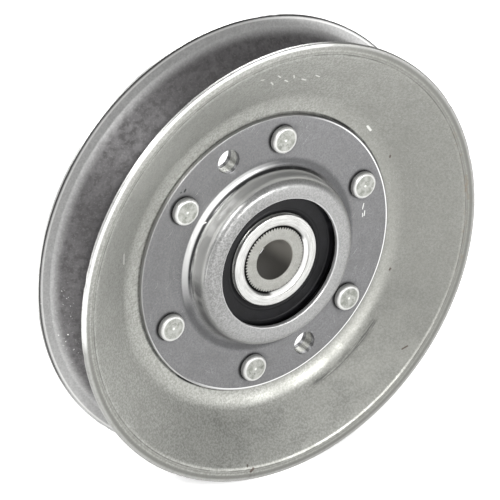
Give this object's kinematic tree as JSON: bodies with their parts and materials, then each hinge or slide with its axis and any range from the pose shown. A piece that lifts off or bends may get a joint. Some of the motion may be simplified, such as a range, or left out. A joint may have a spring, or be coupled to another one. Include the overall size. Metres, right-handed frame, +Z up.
{
  "type": "v-belt idler pulley",
  "caption": "Riveted stamped-steel V-belt idler pulley on a sealed ball bearing, with a knurled bush in its bore.",
  "frame": {"origin": "centre of the bore, on the mid-plane between the flanges", "axes": "+Y along the spin axis towards the rear face; the front face looks along -Y; +Z up"},
  "size_m": [0.1142, 0.021, 0.1142],
  "materials": {
    "flange_steel": "zinc-plated pressed steel, mottled satin",
    "plate_steel": "zinc-plated pressed steel, satin",
    "rivet_steel": "zinc-plated, hammered heads",
    "ring_steel": "ground bearing steel",
    "ball_steel": "polished bearing steel",
    "cage_steel": "pressed strip, bright",
    "insert_steel": "plain pressed strip",
    "seal_rubber": "satin black nitrile rubber",
    "bush_steel": "turned, knurled, matt plated"
  },
  "bodies": {
    "hub": {"bearing_inner_ring": "ring_steel", "bore_bush": "bush_steel"},
    "pulley": {"front_flange": "flange_steel", "rear_flange": "flange_steel", "front_bearing_plate": "plate_steel", "rear_bearing_plate": "plate_steel", "rivet_1": "rivet_steel", "rivet_2": "rivet_steel", "rivet_3": "rivet_steel", "rivet_4": "rivet_steel", "rivet_5": "rivet_steel", "rivet_6": "rivet_steel", "bearing_outer_ring": "ring_steel", "front_seal_rubber": "seal_rubber", "rear_seal_rubber": "seal_rubber", "front_seal_insert": "insert_steel", "rear_seal_insert": "insert_steel"},
    "cage": {"cage_front": "cage_steel", "cage_rear": "cage_steel", "cage_rivets": "cage_steel"},
    "rolling_ball_1": {"ball_1": "ball_steel"},
    "rolling_ball_2": {"ball_2": "ball_steel"},
    "rolling_ball_3": {"ball_3": "ball_steel"},
    "rolling_ball_4": {"ball_4": "ball_steel"},
    "rolling_ball_5": {"ball_5": "ball_steel"},
    "rolling_ball_6": {"ball_6": "ball_steel"},
    "rolling_ball_7": {"ball_7": "ball_steel"},
    "rolling_ball_8": {"ball_8": "ball_steel"}
  },
  "joints": [
    {"name": "pulley_spin", "type": "hinge", "parent": "hub", "child": "pulley", "pos_m": [0, 0, 0], "axis": [0, 1, 0], "continuous": true},
    {"name": "cage_spin", "type": "hinge", "parent": "hub", "child": "cage", "pos_m": [0, 0, 0], "axis": [0, 1, 0], "continuous": true},
    {"name": "ball_1_roll", "type": "hinge", "parent": "cage", "child": "rolling_ball_1", "pos_m": [0.01425, 0, 0], "axis": [0, 1, 0], "continuous": true},
    {"name": "ball_2_roll", "type": "hinge", "parent": "cage", "child": "rolling_ball_2", "pos_m": [0.01008, 0, 0.01008], "axis": [0, 1, 0], "continuous": true},
    {"name": "ball_3_roll", "type": "hinge", "parent": "cage", "child": "rolling_ball_3", "pos_m": [0, 0, 0.01425], "axis": [0, 1, 0], "continuous": true},
    {"name": "ball_4_roll", "type": "hinge", "parent": "cage", "child": "rolling_ball_4", "pos_m": [-0.01008, 0, 0.01008], "axis": [0, 1, 0], "continuous": true},
    {"name": "ball_5_roll", "type": "hinge", "parent": "cage", "child": "rolling_ball_5", "pos_m": [-0.01425, 0, 0], "axis": [0, 1, 0], "continuous": true},
    {"name": "ball_6_roll", "type": "hinge", "parent": "cage", "child": "rolling_ball_6", "pos_m": [-0.01008, 0, -0.01008], "axis": [0, 1, 0], "continuous": true},
    {"name": "ball_7_roll", "type": "hinge", "parent": "cage", "child": "rolling_ball_7", "pos_m": [0, 0, -0.01425], "axis": [0, 1, 0], "continuous": true},
    {"name": "ball_8_roll", "type": "hinge", "parent": "cage", "child": "rolling_ball_8", "pos_m": [0.01008, 0, -0.01008], "axis": [0, 1, 0], "continuous": true}
  ],
  "couplings": [
    {"joint": "cage_spin", "follows": "pulley_spin", "ratio": 0.61825},
    {"joint": "ball_1_roll", "follows": "pulley_spin", "ratio": 1.996},
    {"joint": "ball_2_roll", "follows": "pulley_spin", "ratio": 1.996},
    {"joint": "ball_3_roll", "follows": "pulley_spin", "ratio": 1.996},
    {"joint": "ball_4_roll", "follows": "pulley_spin", "ratio": 1.996},
    {"joint": "ball_5_roll", "follows": "pulley_spin", "ratio": 1.996},
    {"joint": "ball_6_roll", "follows": "pulley_spin", "ratio": 1.996},
    {"joint": "ball_7_roll", "follows": "pulley_spin", "ratio": 1.996},
    {"joint": "ball_8_roll", "follows": "pulley_spin", "ratio": 1.996}
  ]
}
